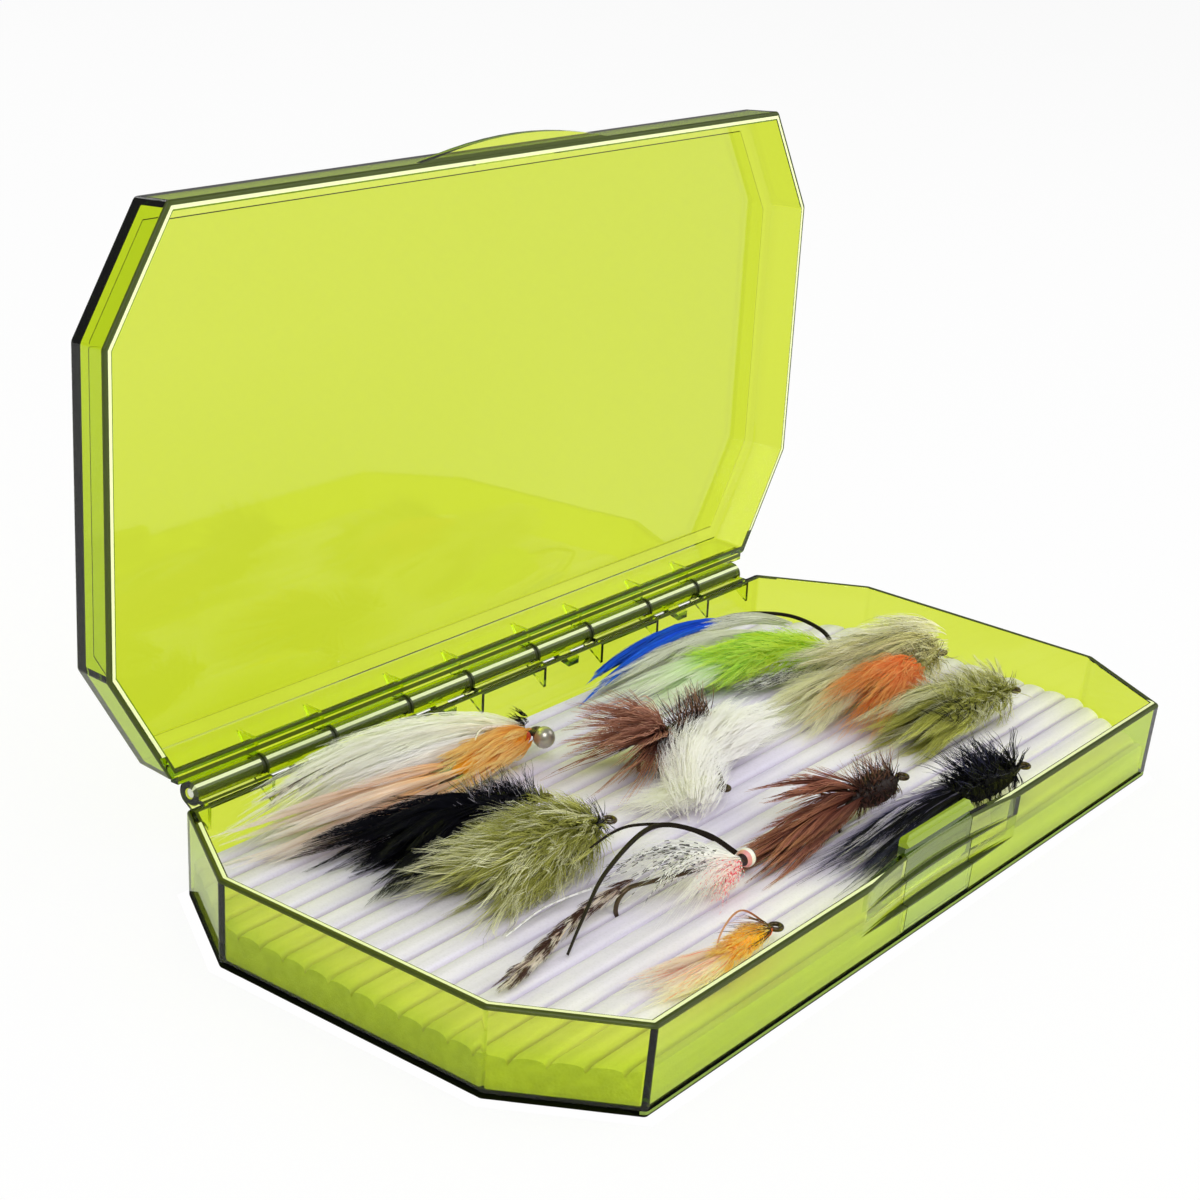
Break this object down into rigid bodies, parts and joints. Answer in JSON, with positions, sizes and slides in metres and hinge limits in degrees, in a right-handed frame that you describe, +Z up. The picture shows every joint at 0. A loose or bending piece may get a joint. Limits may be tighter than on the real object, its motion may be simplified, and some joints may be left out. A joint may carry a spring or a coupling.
{
  "type": "fly box",
  "caption": "Slim octagonal case with a clear tinted tray and hinged lid, a snap tongue, and a ridged foam pad that holds dressed fishing flies by their hooks.",
  "frame": {"origin": "middle of the tray's flat underside", "axes": "+X along the hinge, +Y towards the hinge side, -Y towards the latch, +Z up; the lid stands open at rest"},
  "size_m": [0.2, 0.113, 0.121],
  "materials": {
    "tinted_shell": "clear tinted, polished",
    "polished_steel": "polished",
    "foam": "matt closed-cell foam",
    "hook_wire": "bronzed wire",
    "nickel_bead": "plated bead",
    "red_white_bead": "white bead with a red band",
    "quill": "stripped quill",
    "orange_dressing": "dubbed fur",
    "pink_dressing": "soft hair",
    "black_dressing": "marabou",
    "dark_brown_dressing": "chenille",
    "brown_dressing": "marabou",
    "white_dressing": "soft hair",
    "grizzly_feather": "barred feather",
    "olive_dressing": "marabou",
    "tan_dressing": "rabbit fur",
    "green_dressing": "bucktail",
    "blue_dressing": "hackle feather"
  },
  "bodies": {
    "tray": {"baitfish_body": "green_dressing", "baitfish_flank": "green_dressing", "baitfish_hook": "hook_wire", "baitfish_wing": "blue_dressing", "base_tray": "tinted_shell", "black_bugger_body": "black_dressing", "black_bugger_hook": "hook_wire", "black_bugger_tail": "black_dressing", "black_marabou_body": "black_dressing", "black_marabou_hook": "hook_wire", "black_marabou_tail": "black_dressing", "brown_bugger_body": "dark_brown_dressing", "brown_bugger_hook": "hook_wire", "brown_bugger_tail": "brown_dressing", "foam_insert": "foam", "grizzly_fly_bead": "red_white_bead", "grizzly_fly_body": "white_dressing", "grizzly_fly_hook": "hook_wire", "grizzly_fly_stem": "quill", "grizzly_fly_tail": "grizzly_feather", "hinge_pin": "polished_steel", "olive_bugger_body": "olive_dressing", "olive_bugger_hook": "hook_wire", "olive_bugger_tail": "olive_dressing", "olive_streamer_body": "olive_dressing", "olive_streamer_hook": "hook_wire", "olive_streamer_tail": "olive_dressing", "orange_streamer_body": "orange_dressing", "orange_streamer_eyes": "nickel_bead", "orange_streamer_hook": "hook_wire", "orange_streamer_tail": "pink_dressing", "orange_streamer_wing": "white_dressing", "rust_fly_body": "dark_brown_dressing", "rust_fly_hook": "hook_wire", "rust_fly_tail": "brown_dressing", "scud_fly_body": "orange_dressing", "scud_fly_hook": "hook_wire", "scud_fly_tail": "pink_dressing", "tan_streamer_body": "tan_dressing", "tan_streamer_hook": "hook_wire", "tan_streamer_tail": "orange_dressing", "tan_streamer_wing": "tan_dressing", "white_fly_body": "white_dressing", "white_fly_hook": "hook_wire", "white_fly_tail": "white_dressing"},
    "lid": {"lid_shell": "tinted_shell"},
    "latch": {"latch_tongue": "tinted_shell"}
  },
  "joints": [
    {"name": "lid_hinge", "type": "hinge", "parent": "tray", "child": "lid", "pos_m": [0, 0.05266, 0.0166], "axis": [1, 0, 0], "range_deg": [0, 91.6]},
    {"name": "latch_flex", "type": "hinge", "parent": "tray", "child": "latch", "pos_m": [0, -0.04759, 0.0024], "axis": [-1, 0, 0], "range_deg": [0, 3.5], "stiffness_Nm_per_rad": 0.02}
  ]
}
